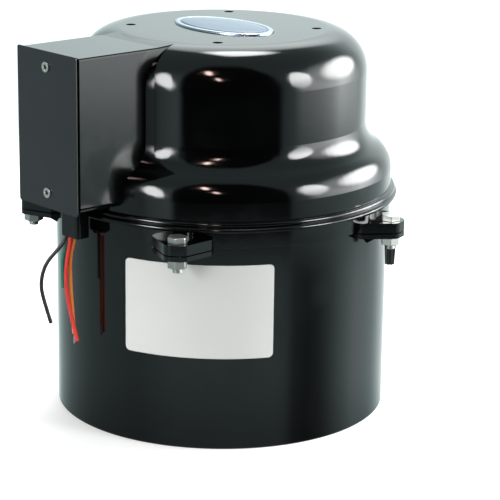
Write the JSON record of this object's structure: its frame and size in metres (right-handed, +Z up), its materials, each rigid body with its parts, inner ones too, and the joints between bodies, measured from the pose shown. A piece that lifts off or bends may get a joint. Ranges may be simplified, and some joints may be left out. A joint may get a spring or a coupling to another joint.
{
  "type": "air blower",
  "caption": "Two-stage air blower in a moulded drum with a domed cover, wiring box with loose leads, clamp ring ears and a socket outlet under the floor.",
  "frame": {"origin": "centre of the outlet socket's mouth, in the plane the drum stands on", "axes": "+Z up along the drum and the shaft; -X points at the wiring box's cover plate"},
  "size_m": [0.2813, 0.2574, 0.2557],
  "materials": {
    "bearing_steel": "polished",
    "black_rubber": "matte",
    "brush_carbon": "matte",
    "cast_aluminium": "cast",
    "commutator_copper": "turned",
    "copper_wire": "enamelled",
    "cover_plastic": "gloss",
    "cutout_case": "satin",
    "duct_plastic": "matte",
    "fan_aluminium": "satin",
    "field_plastic": "gloss",
    "filter_foam": "matte",
    "holder_brass": "satin",
    "housing_plastic": "gloss",
    "insulation_black": "satin",
    "insulation_green": "satin",
    "insulation_orange": "satin",
    "insulation_red": "satin",
    "label_stock": "matte",
    "lamination": "satin",
    "plate_plastic": "satin",
    "rim_plastic": "gloss",
    "sheet_steel": "satin",
    "sleeve": "matte",
    "sound_foam": "matte",
    "zinc": "satin"
  },
  "bodies": {
    "housing": {"base_housing": "housing_plastic", "cover": "cover_plastic", "emblem_rim": "rim_plastic", "emblem_field": "field_plastic", "seam_gasket": "black_rubber", "clamp_bolts": "zinc", "clamp_nuts": "zinc", "hanging_peg": "housing_plastic", "box_plate": "plate_plastic", "plate_gasket": "black_rubber", "plate_screws": "zinc", "ground_screw": "zinc", "lead_grommet": "black_rubber", "lead_black": "insulation_black", "lead_red": "insulation_red", "lead_green": "insulation_green", "lead_orange": "insulation_orange", "rating_label": "label_stock", "intake_filter": "filter_foam", "base_foam": "sound_foam", "dome_foam": "sound_foam", "motor_pod": "duct_plastic", "pod_gasket": "black_rubber", "pod_grommet": "black_rubber", "wall_grommet": "black_rubber", "motor_harness": "sleeve", "fan_can": "sheet_steel", "lower_mount": "black_rubber", "upper_mount": "black_rubber", "fan_bracket": "cast_aluminium", "upper_bearing": "bearing_steel", "lower_bearing": "bearing_steel", "commutator_bracket": "cast_aluminium", "brush_holder_a": "holder_brass", "brush_spring_a": "sheet_steel", "brush_holder_b": "holder_brass", "brush_spring_b": "sheet_steel", "motor_bolts": "zinc", "field_core": "lamination", "field_coils": "copper_wire", "thermal_protector": "cutout_case", "stage_guide": "sheet_steel"},
    "rotor": {"shaft": "sheet_steel", "armature_core": "lamination", "armature_winding": "copper_wire", "commutator": "commutator_copper", "impeller_first": "fan_aluminium", "impeller_second": "fan_aluminium", "impeller_spacer": "fan_aluminium", "shaft_collar": "sheet_steel", "impeller_nut": "zinc"},
    "brush_a": {"brush_a": "brush_carbon"},
    "brush_b": {"brush_b": "brush_carbon"}
  },
  "joints": [
    {"name": "rotor_spin", "type": "hinge", "parent": "housing", "child": "rotor", "pos_m": [0, 0, 0.15], "axis": [0, 0, 1], "continuous": true},
    {"name": "brush_slide_a", "type": "slide", "parent": "housing", "child": "brush_a", "axis": [1, 0, 0], "range_m": [0, 0.004], "stiffness_N_per_m": 120, "springref_m": -0.004, "deforming": ["brush_spring_a"]},
    {"name": "brush_slide_b", "type": "slide", "parent": "housing", "child": "brush_b", "axis": [-1, 0, 0], "range_m": [0, 0.004], "stiffness_N_per_m": 120, "springref_m": -0.004, "deforming": ["brush_spring_b"]}
  ]
}
